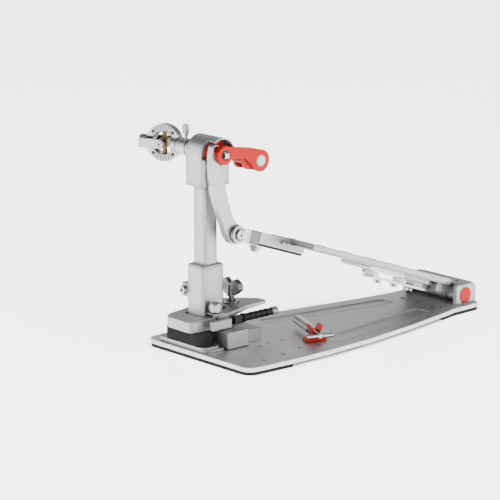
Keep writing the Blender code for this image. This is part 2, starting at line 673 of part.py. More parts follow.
def jaw_trim():
    """Pad, fulcrum bolt with its square washer, and the screw rod beside the lever."""
    pad = prism(filleted([(-54, -3.5, 9), (7.0, -3.5, 9), (7.0, 19.5, 8), (-54, 19.5, 7)]), (14.3, 27.0))
    pad_node = node(soften(pad, 1.2), "jaw_rubber_pad", "black rubber")
    washer = soften(prism([(-11.3, 21.5), (1.7, 21.5), (1.7, 34.5), (-11.3, 34.5)], (43.6, 45.0)), 0.3)
    cut(washer, rod((-4.8, 28, 30), (-4.8, 28, 60), 3.0 + GAP, 16))
    bolt = rod((-4.8, 28, 34.0), (-4.8, 28, 47.0), 3.0, 16)
    cap = soften(rod((-4.8, 28, 45.3), (-4.8, 28, 56.0), 6.6, 24), 1.4)
    under = soften(box((-8.0, 26.0, 29.4), (5.0, 39.5, 32.6)), 0.6)
    join(under, soften(box((3.9, 12.0, 29.4), (9.3, 39.5, 39.5)), 0.6))
    return [pad_node, node(washer, "fulcrum_washer", "bearing steel"),
            node(join(bolt, cap), "fulcrum_bolt", "chrome"), node(under, "fulcrum_block", "satin aluminium")]


def tension_rod():
    """The threaded rod in its ribbed sleeve, with a knurled end."""
    rod_z = 37.3
    x = 8.6
    sleeve = rod((x, 50, rod_z), (x, 95, rod_z), 3.6, 16)
    join(sleeve, soften(box((5.0, 42.0, 32.2), (12.0, 53.0, 41.0)), 0.8))
    for i in range(5):
        y = 57.6 + 7.4 * i
        join(sleeve, rod((x, y, rod_z), (x, y + 4.0, rod_z), 4.4, 16))
    end = soften(rod((x, 95.3, rod_z), (x, 104, rod_z), 4.4, 12), 0.6)
    return [node(sleeve, "tension_sleeve", "dark steel"), node(end, "tension_nut", "chrome")]


def wing_bolt():
    """The bolt that lifts the lever's tail, with two wings."""
    x, y = WING_XY
    stem = rod((x, y, 22.9), (x, y, 58), 3.2, 16)
    hub = rod((x, y, 54.5), (x, y, 66), 5.6, 20, 4.6)
    join(stem, hub)
    for side in (1, -1):
        wing = [(x, 55.5, 0), (x + side * 7, 56, 2), (x + side * 16.6, 63, 2.5), (x + side * 14.5, 70, 2.5),
                (x + side * 7, 74, 3), (x, 68, 0)]
        join(stem, prism(filleted(wing, 3), (y - 3.2, y + 3.2), "XZ"))
    return node(stem, "wing_bolt", "dark steel")


# ---------------------------------------------------------------- drum key

KEY_Z = 18.0
KEY_START = Vector((-2.0, 143.0))
KEY_END = Vector((70.0, 113.0))


def key_point(distance, z=KEY_Z):
    """A point on the key's axis."""
    run = (KEY_END - KEY_START).normalized()
    place = KEY_START + run * distance
    return (place.x, place.y, z)


def drum_key():
    """The chrome drum key: a thick socket tube, a collar and a thin stem with a cross handle."""
    tube = soften(rod(key_point(0), key_point(44), 5.0, 24), 0.5)
    cut(tube, rod(key_point(-2), key_point(10), 3.0, 4))
    run = (KEY_END - KEY_START).normalized()
    side = Vector((-run.y, run.x))
    start = Vector(key_point(74)[:2])
    handle = rod((*(start + side * 15), KEY_Z), (*(start - side * 15), KEY_Z), 2.2, 14)
    join(tube, rod(key_point(43), key_point(49), 3.6, 20), rod(key_point(48), key_point(76), 2.3, 16), handle)
    return node(tube, "drum_key", "chrome")


def key_clip():
    """The red spring clip that holds the key on the plate."""
    run = (KEY_END - KEY_START).normalized()
    side = Vector((-run.y, run.x, 0))
    axis = Vector((run.x, run.y, 0))
    arms = [(-12, 9.0), (12, 9.0), (12, 12.0), (5.8, 12.6), (4.6, 16.0), (4.8, 20.5), (8.0, 25.5),
            (6.2, 27.5), (2.6, 22.0), (2.6, 14.6), (-2.6, 14.6), (-2.6, 22.0), (-6.2, 27.5), (-8.0, 25.5),
            (-4.8, 20.5), (-4.6, 16.0), (-5.8, 12.6), (-12, 12.0)]
    clip = prism(arms, (-6.0, 6.0))
    place = Vector(key_point(58, 0)) * MM
    turn = Matrix((side, Vector((0, 0, 1)), axis)).transposed().to_4x4()
    clip.matrix_world = Matrix.Translation(place) @ turn
    return node(soften(clip, 0.4), "key_clip", "red anodised")


# ---------------------------------------------------------------- assembly

def place_on_origin():
    """Hang everything on one empty that puts the origin under the toe rubber's middle."""
    root = bpy.data.objects.new("pedal_origin", None)
    root.empty_display_size = 0.02
    PARTS.objects.link(root)
    root.location = (0, -ORIGIN_Y * MM, 0)
    for obj in [*PARTS.objects, *CUTTERS.objects]:
        if obj.parent is None and obj is not root:
            obj.parent = root


def build():
    """Make every piece and hang the moving ones on their joints."""
    base_plate()
    rubber_feet()
    plate_screws()
    pedestal()
    clamp_base()
    post_parts()
    head()
    axle_bearings()
    heel_block()
    heel_axle_and_caps()
    key_clip()

    board_pivot = pivot("footboard_pivot", (0, HINGE_Y, HINGE_Z), footboard_parts())
    pivot("link_pivot", (0, *TOE_PIVOT), [drive_link()], board_pivot)
    collar, thumbscrew = axle_collar()
    turning = [axle(), crank(), spring_lever(), lever_pin(), collar, ring_yoke()]
    axle_pivot = pivot("axle_pivot", (0, AXLE_Y, AXLE_Z), turning)
    pivot("thumbscrew_pivot", (-60, AXLE_Y, AXLE_Z), [thumbscrew], axle_pivot)
    joint_centre = (JOINT_X, AXLE_Y, AXLE_Z)
    cross_pivot = pivot("cross_pivot", joint_centre, [joint_cross()], axle_pivot)
    pivot("fork_pivot", joint_centre, [joint_fork()], cross_pivot)
    pivot("jaw_pivot", (0, *JAW_PIVOT), [jaw_lever(), *jaw_trim(), *tension_rod()])
    pivot("wing_pivot", (*WING_XY, 0), [wing_bolt()])
    pivot("key_pivot", key_point(0), [drum_key()])
    place_on_origin()


clear_scene()
PARTS = new_collection("bass_drum_pedal")
CUTTERS = new_collection("cutters")
material("satin aluminium", (0.62, 0.62, 0.63), 0.35, 1.0)
material("chrome", (0.75, 0.75, 0.76), 0.12, 1.0)
material("bearing steel", (0.55, 0.55, 0.56), 0.25, 1.0)
material("dark steel", (0.16, 0.16, 0.17), 0.35, 1.0)
material("brass", (0.55, 0.40, 0.20), 0.30, 1.0)
material("red anodised", (0.62, 0.05, 0.03), 0.35, 0.6)
material("black rubber", (0.02, 0.02, 0.02), 0.80, 0.0)
build()
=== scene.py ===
"""Visual model of the bass drum pedal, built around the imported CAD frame."""
import json
import math

import bmesh
import bpy
from mathutils import Matrix, Vector


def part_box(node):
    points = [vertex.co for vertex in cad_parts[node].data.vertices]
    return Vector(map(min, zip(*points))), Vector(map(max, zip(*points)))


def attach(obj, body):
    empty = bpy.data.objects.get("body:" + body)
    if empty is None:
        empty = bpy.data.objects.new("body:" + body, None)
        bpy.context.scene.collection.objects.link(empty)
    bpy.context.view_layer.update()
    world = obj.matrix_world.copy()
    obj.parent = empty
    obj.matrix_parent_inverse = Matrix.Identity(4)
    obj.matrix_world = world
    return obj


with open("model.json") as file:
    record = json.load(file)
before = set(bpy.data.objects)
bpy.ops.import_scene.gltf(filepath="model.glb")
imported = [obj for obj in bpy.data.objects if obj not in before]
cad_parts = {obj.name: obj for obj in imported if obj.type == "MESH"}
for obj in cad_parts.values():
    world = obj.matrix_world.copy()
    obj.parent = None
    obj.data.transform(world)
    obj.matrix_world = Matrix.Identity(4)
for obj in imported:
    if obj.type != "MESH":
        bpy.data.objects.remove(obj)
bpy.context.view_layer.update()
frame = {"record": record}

MM = 0.001

# Places read from the frame, in metres
JOINTS = {joint["name"]: joint for joint in frame["record"]["behaviour"]["joints"]}
HINGE = Vector(JOINTS["footboard_hinge"]["pos_m"])
UJOINT = Vector(JOINTS["ujoint_tilt"]["pos_m"])
BOARD_SLOPE = math.radians(19.2)
JOINT_FLEX = math.radians(23.0)

# Places along the pedal in mm: X to the near side, Y from the toe to the heel, Z up
TOE_OFFSET = 28.0
AXLE_YZ = (35, 216.5)
LEVER_PIN_YZ = (85, 204.5)
LINK_FOOT_YZ = (55, 128)
HEEL_HINGE_YZ = (357, 18.4)
NEAR_HUB_X = 4.4
FULCRUM_XY = (-4.8, 28)
WING_BOLT_XY = (-22, 66)
TENSION_XZ = (8.6, 37.3)

# Footboard detail in mm
GRIP_RIB_XS = range(-22, 35, 8)
GRIP_STUD_SS = (60, 100, 140, 180, 220)
GRIP_STUD_XS = (-18, 30)
BOARD_TOP = 13.5
HEEL_SCREW_XS = (-18, 7, 32)
PLATE_HOLES = ((24, 78), (30, 62), (26, 96), (72, 28), (60, 90), (-60, 96), (10, 322), (38, 316))

# Universal joint detail in mm and degrees
RIB_CIRCLE = 16.9
RIB_STEP = 11
SCREW_CIRCLE = 16.6
SCREW_ANGLES = (45, 135, 225, 315)


# ---------------------------------------------------------------- materials

def new_material(name):
    """An empty node material with its Principled shader."""
    made = bpy.data.materials.new(name)
    made.use_nodes = True
    return made, made.node_tree, made.node_tree.nodes["Principled BSDF"]


def add(tree, kind, **inputs):
    """Add a shader node and set its inputs by name."""
    made = tree.nodes.new(kind)
    for key, value in inputs.items():
        made.inputs[key.replace("_", " ")].default_value = value
    return made


def object_noise(tree, scale, detail, stretch=(1, 1, 1)):
    """Noise in the object's own coordinates, stretched along an axis for a brushed grain."""
    place = tree.nodes.new("ShaderNodeTexCoord")
    mapping = add(tree, "ShaderNodeMapping", Scale=stretch)
    noise = add(tree, "ShaderNodeTexNoise", Scale=scale, Detail=detail, Roughness=0.6)
    tree.links.new(place.outputs["Object"], mapping.inputs["Vector"])
    tree.links.new(mapping.outputs["Vector"], noise.inputs["Vector"])
    return noise.outputs["Fac"]


def remap(tree, value, low, high, start=0.25, end=0.75):
    """Spread a value over a new range."""
    node = add(tree, "ShaderNodeMapRange", From_Min=start, From_Max=end, To_Min=low, To_Max=high)
    tree.links.new(value, node.inputs["Value"])
    return node.outputs["Result"]


def mix_colour(tree, factor, first, second):
    """Mix two colours, each a tuple or a socket."""
    node = tree.nodes.new("ShaderNodeMix")
    node.data_type = "RGBA"
    tree.links.new(factor, node.inputs["Factor"])
    for socket, value in ((node.inputs[6], first), (node.inputs[7], second)):
        if isinstance(value, tuple):
            socket.default_value = (*value, 1.0)
        else:
            tree.links.new(value, socket)
    return node.outputs[2]


def edge_mask(tree, radius):
    """How strongly a point lies on an edge, and the rounded normal there."""
    bevel = add(tree, "ShaderNodeBevel", Radius=radius)
    bevel.samples = 4
    flat = tree.nodes.new("ShaderNodeNewGeometry")
    dot = tree.nodes.new("ShaderNodeVectorMath")
    dot.operation = "DOT_PRODUCT"
    tree.links.new(bevel.outputs["Normal"], dot.inputs[0])
    tree.links.new(flat.outputs["Normal"], dot.inputs[1])
    return remap(tree, dot.outputs["Value"], 1.0, 0.0, 0.75, 0.99), bevel.outputs["Normal"]


def corner_shade(tree, colour, amount, reach):
    """Painted shade: darken a colour where the surface turns between the main axes, so rounded corners
    read darker than the faces beside them.
    """
    bevel = add(tree, "ShaderNodeBevel", Radius=reach)
    bevel.samples = 6
    size = tree.nodes.new("ShaderNodeVectorMath")
    size.operation = "ABSOLUTE"
    split = tree.nodes.new("ShaderNodeSeparateXYZ")
    tree.links.new(bevel.outputs["Normal"], size.inputs[0])
    tree.links.new(size.outputs["Vector"], split.inputs[0])
    largest = split.outputs["X"]
    for axis in ("Y", "Z"):
        pick = tree.nodes.new("ShaderNodeMath")
        pick.operation = "MAXIMUM"
        tree.links.new(largest, pick.inputs[0])
        tree.links.new(split.outputs[axis], pick.inputs[1])
        largest = pick.outputs[0]
    mask = remap(tree, largest, 1.0, 0.0, 0.76, 0.998)
    shade = tree.nodes.new("ShaderNodeMix")
    shade.data_type = "RGBA"
    shade.blend_type = "MULTIPLY"
    tree.links.new(mask, shade.inputs["Factor"])
    tree.links.new(colour, shade.inputs[6])
    shade.inputs[7].default_value = (1 - amount, 1 - amount, 1 - amount, 1)
    return shade.outputs[2]


def metal(name, colour, rough, grain=(1, 1, 1), edge_highlight=None, metallic=1.0, bump=0.06, edge=0.00045,
          mottle=0.06, painted_corner_shade=0.0, reach=0.001):
    """Metal with a fine grain, uneven polish, a painted highlight along its edges and, where asked,
    painted shade on its rounded corners.
    """
    made, tree, shader = new_material(name)
    shader.inputs["Metallic"].default_value = metallic
    fine = object_noise(tree, 900.0, 3.0, grain)
    cloud = object_noise(tree, 28.0, 4.0)
    tree.links.new(remap(tree, fine, rough * 0.8, rough * 1.25), shader.inputs["Roughness"])
    dark = tuple(c * (1 - mottle) for c in colour)
    bright = tuple(min(1.0, c * (1 + mottle)) for c in colour)
    base = mix_colour(tree, remap(tree, cloud, 0.0, 1.0), dark, bright)
    # Painted shade on rounded corners, darkening the base colour there
    if painted_corner_shade:
        base = corner_shade(tree, base, painted_corner_shade, reach)
    # Painted highlight: edges brightened in the base colour
    mask, rounded = edge_mask(tree, edge)
    edge_highlight_colour = edge_highlight or tuple(min(1.0, c * 1.15 + 0.05) for c in colour)
    tree.links.new(mix_colour(tree, mask, base, edge_highlight_colour), shader.inputs["Base Color"])
    relief = add(tree, "ShaderNodeBump", Strength=bump, Distance=0.0001)
    tree.links.new(fine, relief.inputs["Height"])
    tree.links.new(rounded, relief.inputs["Normal"])
    tree.links.new(relief.outputs["Normal"], shader.inputs["Normal"])
    return made


def rubber(name, colour):
    """Matt rubber with a fine moulded grain and a little dust."""
    made, tree, shader = new_material(name)
    shader.inputs["Specular IOR Level"].default_value = 0.12
    fine = object_noise(tree, 1600.0, 2.0)
    dust = object_noise(tree, 60.0, 5.0)
    tree.links.new(remap(tree, dust, 0.62, 0.85), shader.inputs["Roughness"])
    dusty = tuple(c * 2.2 + 0.0008 for c in colour)
    tree.links.new(mix_colour(tree, remap(tree, dust, 0.0, 1.0), colour, dusty),
                   shader.inputs["Base Color"])
    _, rounded = edge_mask(tree, 0.0006)
    relief = add(tree, "ShaderNodeBump", Strength=0.25, Distance=0.0001)
    tree.links.new(fine, relief.inputs["Height"])
    tree.links.new(rounded, relief.inputs["Normal"])
    tree.links.new(relief.outputs["Normal"], shader.inputs["Normal"])
    return made


ALONG_X = (0.04, 1, 1)
ALONG_Y = (1, 0.04, 1)
ALONG_Z = (1, 1, 0.04)
# Each finish's corner value sets the painted shade on its rounded corners
# Lighter edge colours given to a finish are painted highlights along its edges
MATERIALS = {
    "plate": metal("plate_satin", (0.50, 0.50, 0.505), 0.42, ALONG_Y, edge_highlight=(0.70, 0.70, 0.71), bump=0.12,
                   edge=0.0010),
    "post": metal("post_satin", (0.35, 0.35, 0.36), 0.42, ALONG_Z, edge=0.0004, painted_corner_shade=0.60,
                 reach=0.010),
    "cast": metal("block_satin", (0.32, 0.32, 0.325), 0.46, bump=0.12, edge=0.0005,
                 painted_corner_shade=0.50, reach=0.002),
    "link": metal("link_brushed", (0.36, 0.36, 0.37), 0.36, ALONG_Z, bump=0.12, edge=0.0004,
                 painted_corner_shade=0.62, reach=0.0012),
    "board": metal("board_brushed", (0.30, 0.30, 0.305), 0.32, ALONG_Y, bump=0.10, edge=0.0004,
                   painted_corner_shade=0.5, reach=0.0012),
    "chrome": metal("chrome", (0.40, 0.40, 0.415), 0.12, bump=0.02, edge=0.0003, mottle=0.03, painted_corner_shade=0.65),
    "steel": metal("ground_steel", (0.27, 0.27, 0.28), 0.26, ALONG_X, bump=0.05, painted_corner_shade=0.2),
    "dark": metal("dark_steel", (0.022, 0.022, 0.023), 0.34, edge_highlight=(0.10, 0.10, 0.10), edge=0.0003),
    "grey": metal("grey_steel", (0.13, 0.13, 0.135), 0.34, edge_highlight=(0.34, 0.34, 0.35), edge=0.0003,
                  painted_corner_shade=0.3),
    "brass": metal("brass", (0.13, 0.075, 0.035), 0.30, bump=0.06, painted_corner_shade=0.3),
    "red": metal("red_anodised", (0.27, 0.010, 0.007), 0.38, edge_highlight=(0.40, 0.04, 0.03), metallic=0.85,
                 edge=0.0004, mottle=0.05, painted_corner_shade=0.25),
    "rubber": rubber("black_rubber", (0.0022, 0.0022, 0.0024)),
}

FINISHES = {
    "plate": ("base_plate",),
    "post": ("post", "post_sleeve", "head"),
    "cast": ("pedestal", "clamp_base_plate", "clamp_jaw", "heel_block", "hinge_barrel", "fulcrum_block"),
    "link": ("drive_link",),
    "board": ("footboard", "extension_bar"),
    "chrome": ("plate_screw_toe_near", "plate_screw_toe_far", "plate_screw_heel_near",
               "plate_screw_heel_far", "post_height_screw", "axle", "spring_lever_pin", "axle_collar",
               "thumbscrew", "ujoint_ring", "ujoint_fork", "stiffener_plate", "adjuster_strip",
               "adjuster_bolt_1", "adjuster_bolt_2", "adjuster_bolt_3", "stiffener_nut",
               "extension_pin_1", "extension_pin_2", "toe_bracket", "link_bearing_screw",
               "fulcrum_bolt", "tension_nut", "bracket_nut", "drum_key"),
    "steel": ("axle_bearing_far", "axle_bearing_near", "heel_hinge_pin", "fulcrum_washer"),
    "dark": ("tension_sleeve", "extension_rail"),
    "grey": ("wing_bolt", "bracket_block"),
    "brass": ("ujoint_cross",),
    "red": ("spring_lever", "crank", "bearing_cap_near", "bearing_cap_far", "key_clip"),
    "rubber": ("toe_rubber", "heel_rubber", "jaw_rubber_pad"),
}


def dress_cad_nodes():
    """Give every carried-over CAD node its finish."""
    for finish, names in FINISHES.items():
        for name in names:
            obj = bpy.data.objects[name]
            if not obj.material_slots:
                obj.data.materials.append(None)
            for slot in obj.material_slots:
                slot.material = MATERIALS[finish]


# ---------------------------------------------------------------- mesh helpers

def piece(name, shape, finish, body, smooth=40.0):
    """Turn a bmesh into a visible piece that rides on a body."""
    bmesh.ops.recalc_face_normals(shape, faces=shape.faces)
    mesh = bpy.data.meshes.new(name)
    shape.to_mesh(mesh)
    shape.free()
    mesh.shade_smooth()
    mesh.set_sharp_from_angle(angle=math.radians(smooth))
    mesh.materials.append(MATERIALS[finish])
    obj = bpy.data.objects.new(name, mesh)
    bpy.context.scene.collection.objects.link(obj)
    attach(obj, body)
    return obj


def turn_to(axis):
    """A rotation that takes +Z to an axis."""
    return Vector(axis).to_track_quat("Z", "Y").to_matrix().to_4x4()


def add_lathe(shape, profile, centre, axis, sides=40):
    """Add a closed ring or knob: (radius, height) points turned about an axis."""
    matrix = Matrix.Translation(centre) @ turn_to(axis)
    loops = []
    for i in range(sides):
        angle = 2 * math.pi * i / sides
        loop = []
        for radius, height in profile:
            place = Vector((radius * math.cos(angle), radius * math.sin(angle), height)) * MM
            loop.append(shape.verts.new(matrix @ place))
        loops.append(loop)
    count = len(profile)
    for i in range(sides):
        here, there = loops[i], loops[(i + 1) % sides]
        for k in range(count):
            after = (k + 1) % count
            shape.faces.new((here[k], there[k], there[after], here[after]))


def ring(name, centre, axis, inner, outer, low, high, finish, body, sides=40, soft=0.25):
    """A flat ring with softened edges."""
    shape = bmesh.new()
    profile = [(inner + soft, low), (outer - soft, low), (outer, low + soft), (outer, high - soft),
               (outer - soft, high), (inner + soft, high), (inner, high - soft), (inner, low + soft)]
    add_lathe(shape, profile, centre, axis, sides)
    return piece(name, shape, finish, body)


def add_block(shape, matrix, size):
    """Add a small box: size in mm, placed by a matrix."""
    made = bmesh.ops.create_cube(shape, size=1.0)
    bmesh.ops.scale(shape, vec=[s * MM for s in size], verts=made["verts"])
    bmesh.ops.transform(shape, matrix=matrix, verts=made["verts"])


def add_tube(shape, path, radius, sides=8, closed=False):
    """Sweep a round section along a path given in metres."""
    count = len(path)
    loops = []
    for i, point in enumerate(path):
        before = path[i - 1] if (i > 0 or closed) else path[i]
        after = path[(i + 1) % count] if (i + 1 < count or closed) else path[i]
        along = (after - before).normalized()
        side = along.cross(Vector((0, 0, 1)))
        if side.length < 0.05:
            side = along.cross(Vector((1, 0, 0)))
        side.normalize()
        up = side.cross(along)
        loop = []
        for k in range(sides):
            angle = 2 * math.pi * k / sides
            offset = (side * math.cos(angle) + up * math.sin(angle)) * radius * MM
            loop.append(shape.verts.new(point + offset))
        loops.append(loop)
    last = count if closed else count - 1
    for i in range(last):
        here, there = loops[i], loops[(i + 1) % count]
        for k in range(sides):
            after = (k + 1) % sides
            shape.faces.new((here[k], here[after], there[after], there[k]))
    if not closed:
        shape.faces.new(loops[0])
        shape.faces.new(list(reversed(loops[-1])))


def board_place(s, n, x):
    """A point from its distance along the footboard, height square to it, and X, in mm."""
    y = -s * math.cos(BOARD_SLOPE) + n * math.sin(BOARD_SLOPE)
    z = s * math.sin(BOARD_SLOPE) + n * math.cos(BOARD_SLOPE)
    return Vector((x * MM, HINGE.y + y * MM, HINGE.z + z * MM))


BOARD_TURN = Matrix.Rotation(-BOARD_SLOPE, 4, "X")


# ---------------------------------------------------------------- plate details

def chamfer(shape, offset, segments=1):
    """Chamfer every edge of a shape by an offset in mm."""
    bmesh.ops.bevel(shape, geom=shape.edges, offset=offset * MM, segments=segments, affect="EDGES")


def place(x, y, z):
    """A point from its place in the pedal, in mm: Y is counted from the toe."""
    return Vector((x, y - TOE_OFFSET, z)) * MM


def rounded(corners, steps=8):
    """Points round a corner list (x, y, radius), in mm."""
    points = []
    for i, (x, y, radius) in enumerate(corners):
        here = Vector((x, y))
        before = (Vector(corners[i - 1][:2]) - here).normalized()
        after = (Vector(corners[(i + 1) % len(corners)][:2]) - here).normalized()
        half = before.angle(after) / 2
        centre = here + (before + after).normalized() * radius / math.sin(half)
        start = here + before * radius / math.tan(half) - centre
        end = here + after * radius / math.tan(half) - centre
        turn = math.pi - 2 * half
        for k in range(steps + 1):
            part = k / steps
            spot = start * math.sin((1 - part) * turn) + end * math.sin(part * turn)
            points.append(centre + spot / math.sin(turn))
    return points


def recess_beads():
    """A bright raised edge round each long recess in the plate."""
    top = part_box("base_plate")[1].z / MM
    near = [(75.0, 128.0, 9.0), (50.0, 134.0, 9.0), (28.0, 303.0, 8.0), (54.0, 300.0, 8.0)]
    far = [(-55.0, 128.0, 9.0), (-35.0, 134.0, 7.0), (-6.0, 303.0, 6.0), (-27.0, 300.0, 8.0)]
    for label, corners in (("near", near), ("far", far)):
        path = [place(x, y, top - 0.25) for x, y in rounded(corners)]
        shape = bmesh.new()
        add_tube(shape, path, 0.6, 8, closed=True)
        piece("recess_edge_" + label, shape, "post", "root")


def plate_holes():
    """Dark rims painted as the shade in the small countersunk holes in the plate."""
    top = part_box("base_plate")[1].z / MM
    for i, (x, y) in enumerate(PLATE_HOLES):
        ring(f"plate_hole_{i}", place(x, y, top), (0, 0, 1), 0.9, 2.0, -0.3, 0.12,
             "dark", "root", 20, 0.1)


# ---------------------------------------------------------------- fittings

def ribs(name, centre, axis, radius, length, count, width, height, finish, body):
    """Fine ribs round a knob or nut, each a chamfered bar along its axis."""
    shape = bmesh.new()
    turn = turn_to(axis)
    for i in range(count):
        spin = Matrix.Rotation(2 * math.pi * i / count, 4, "Z")
        out = Matrix.Translation((radius * MM, 0, 0))
        add_block(shape, Matrix.Translation(centre) @ turn @ spin @ out, (height, width, length))
    chamfer(shape, 0.1)
    return piece(name, shape, finish, body)


JOINT_LEVEL = Vector((math.cos(JOINT_FLEX), math.sin(JOINT_FLEX), 0))
JOINT_FACE = Vector((math.sin(JOINT_FLEX), -math.cos(JOINT_FLEX), 0))


def joint_point(along, out, up):
    """A point on the flexed universal joint: along its level line, out of its face, and up, in mm."""
    return UJOINT + (JOINT_LEVEL * along + JOINT_FACE * out + Vector((0, 0, up))) * MM


def joint_ribs(label, side):
    """Ribs at the top and bottom of one face of the joint's ring, coloured dark grey as painted shade for
    the gaps between them.
    """
    shape = bmesh.new()
    for middle in (90, 270):
        for step in range(-3, 4):
            angle = math.radians(middle + RIB_STEP * step)
            spot = joint_point(RIB_CIRCLE * math.cos(angle), side * 4.9, RIB_CIRCLE * math.sin(angle))
            turn = Matrix.Rotation(JOINT_FLEX, 4, "Z") @ Matrix.Rotation(-angle, 4, "Y")
            add_block(shape, Matrix.Translation(spot) @ turn, (5.6, 0.7, 1.3))
    chamfer(shape, 0.15)
    piece("joint_ribs_" + label, shape, "grey", "rocker")


def universal_joint():
    """Ribs, lips, screws and pin caps on the universal joint, and its thumbscrew and collar."""
    for label, side in (("front", 1), ("back", -1)):
        joint_ribs(label, side)
        out = JOINT_FACE * side
        ring("joint_lip_" + label, joint_point(0, side * 4.7, 0), out, 12.4, 13.6, -0.2, 0.6,
             "grey", "rocker", 48)
        ring("joint_rim_" + label, joint_point(0, side * 4.2, 0), out, 19.7, 20.55, -0.3, 0.5,
             "chrome", "rocker", 56)
        # Dark rings painted as the shade in the screw dimples on each face
        for i, angle in enumerate(SCREW_ANGLES):
            x = SCREW_CIRCLE * math.cos(math.radians(angle))
            z = SCREW_CIRCLE * math.sin(math.radians(angle))
            ring(f"joint_screw_{label}_{i}", joint_point(x, side * 4.8, z), out, 0.3, 2.0,
                 -0.2, 0.25, "dark", "rocker", 18, 0.1)
        ring("pin_cap_" + label, joint_point(0, side * 14.2, 0), out, 1.2, 4.0, -0.3, 0.7,
             "chrome", "ujoint_fork", 28)
    ring("socket_lip", joint_point(-28.9, 0, 0), -JOINT_LEVEL, 3.8, 6.4, -0.3, 0.15,
         "dark", "ujoint_fork", 32, 0.1)
    ribs("thumbscrew_knurl", place(-60, 35, 235.6), (0, 0, 1), 3.45, 8.6, 18, 0.55, 0.5,
         "chrome", "thumbscrew")
    # Dark rings painted as the shade in the collar's two grooves
    for name, x, half in (("collar_groove_1", -52, 0.8), ("collar_groove_2", -68, 0.6)):
        ring(name, place(x, *AXLE_YZ), (1, 0, 0), 9.3, 9.75, -half, half, "dark", "rocker", 40, 0.1)


def lever_and_link():
    """Washers and rings at the hub, the lever's pin and the link's lower pivot."""
    ring("hub_washer", place(NEAR_HUB_X, *AXLE_YZ), (1, 0, 0), 4.1, 5.4, 0, 0.4,
         "dark", "rocker", 32, 0.1)
    ring("hub_ring", place(-0.6, *AXLE_YZ), (1, 0, 0), 9.6, 10.5, -0.2, 0.5,
         "red", "rocker", 40, 0.1)
    ring("lever_pin_ring", place(NEAR_HUB_X, *LEVER_PIN_YZ), (1, 0, 0), 5.35, 6.3, 0, 0.45,
         "chrome", "rocker", 36, 0.1)
    ring("knuckle_ring", place(-0.9, *LINK_FOOT_YZ), (1, 0, 0), 5.0, 10.0, 0.1, 0.8,
         "dark", "footboard", 40, 0.1)
    ring("bearing_ring", place(4.0, *LINK_FOOT_YZ), (1, 0, 0), 5.8, 7.4, -0.1, 0.35,
         "grey", "footboard", 36, 0.1)


def clamp_details():
    """Knurls, socket and rings on the hoop clamp's jaw."""
    ribs("fulcrum_bolt_knurl", place(*FULCRUM_XY, 50.6), (0, 0, 1), 6.6, 7.2, 28, 0.55, 0.6,
         "chrome", "clamp_jaw")
    # A dark ring painted as the shade in the bolt's top socket
    ring("fulcrum_bolt_socket", place(*FULCRUM_XY, 56.0), (0, 0, 1), 1.2, 3.9, -0.3, 0.2,
         "dark", "clamp_jaw")
    ring("lever_ring", place(*WING_BOLT_XY, 47.3), (0, -0.094, 1), 5.5, 8.6, -0.1, 1.5,
         "chrome", "clamp_jaw", 36, 0.5)
    tension_x, tension_z = TENSION_XZ
    ribs("tension_nut_knurl", place(tension_x, 99.6, tension_z), (0, 1, 0), 4.35, 7.4, 18, 0.7, 0.7,
         "chrome", "clamp_jaw")
    ring("tension_sleeve_ring", place(tension_x, 54.0, tension_z), (0, 1, 0), 3.7, 5.2, 0, 2.2,
         "dark", "clamp_jaw")


def wing_bolt_details():
    """The wing bolt's thread and the ribs on its wings."""
    bolt_x, bolt_y = WING_BOLT_XY
    turns, steps = 16, 14
    coil = []
    for i in range(turns * steps + 1):
        angle = 2 * math.pi * i / steps
        rise = 24.5 + 29.0 * i / (turns * steps)
        coil.append(place(bolt_x + 3.3 * math.cos(angle), bolt_y + 3.3 * math.sin(angle), rise))
    shape = bmesh.new()
    add_tube(shape, coil, 0.35, 6)
    piece("wing_bolt_thread", shape, "grey", "wing_bolt")
    shape = bmesh.new()
    for side in (1, -1):
        lean = Matrix.Rotation(side * math.radians(24), 4, "Y")
        for face in (1, -1):
            for k in range(4):
                spot = place(bolt_x + side * (5.2 + 2.8 * k), bolt_y + face * 3.2, 64.2 + 0.5 * k)
                add_block(shape, Matrix.Translation(spot) @ lean, (1.1, 0.7, 9.0 - k))
    chamfer(shape, 0.15)
    piece("wing_bolt_ribs", shape, "grey", "wing_bolt")


def board_bar(name, s, n, x, size, finish):
    """A thin chamfered bar lying along the footboard."""
    shape = bmesh.new()
    add_block(shape, Matrix.Translation(board_place(s, n, x)) @ BOARD_TURN, size)
    chamfer(shape, 0.12)
    piece(name, shape, finish, "footboard")


def board_details():
    """Grip ribs and studs on the footboard, and thin bars on its side and stiffener."""
    shape = bmesh.new()
    for x in GRIP_RIB_XS:
        add_block(shape, Matrix.Translation(board_place(132, 13.6, x)) @ BOARD_TURN, (1.6, 186, 0.7))
    chamfer(shape, 0.25, 2)
    piece("board_grip_ribs", shape, "board", "footboard")
    normal = BOARD_TURN @ Vector((0, 0, 1))
    studs = [(s, x) for s in GRIP_STUD_SS for x in GRIP_STUD_XS]
    for i, (s, x) in enumerate(studs):
        ring(f"board_grip_stud_{i}", board_place(s, BOARD_TOP, x), normal, 1.4, 3.4, -0.2, 0.9,
             "steel", "footboard", 24)
    # Dark bars painted as the shade in the stiffener's two slots
    for i, n in enumerate((4.7, 2.5)):
        board_bar(f"stiffener_slot_{i}", 60, n, 28.0, (0.5, 46, 0.9), "dark")
    board_bar("board_side_line", 130, 7.6, 40.0, (0.5, 224, 0.8), "grey")


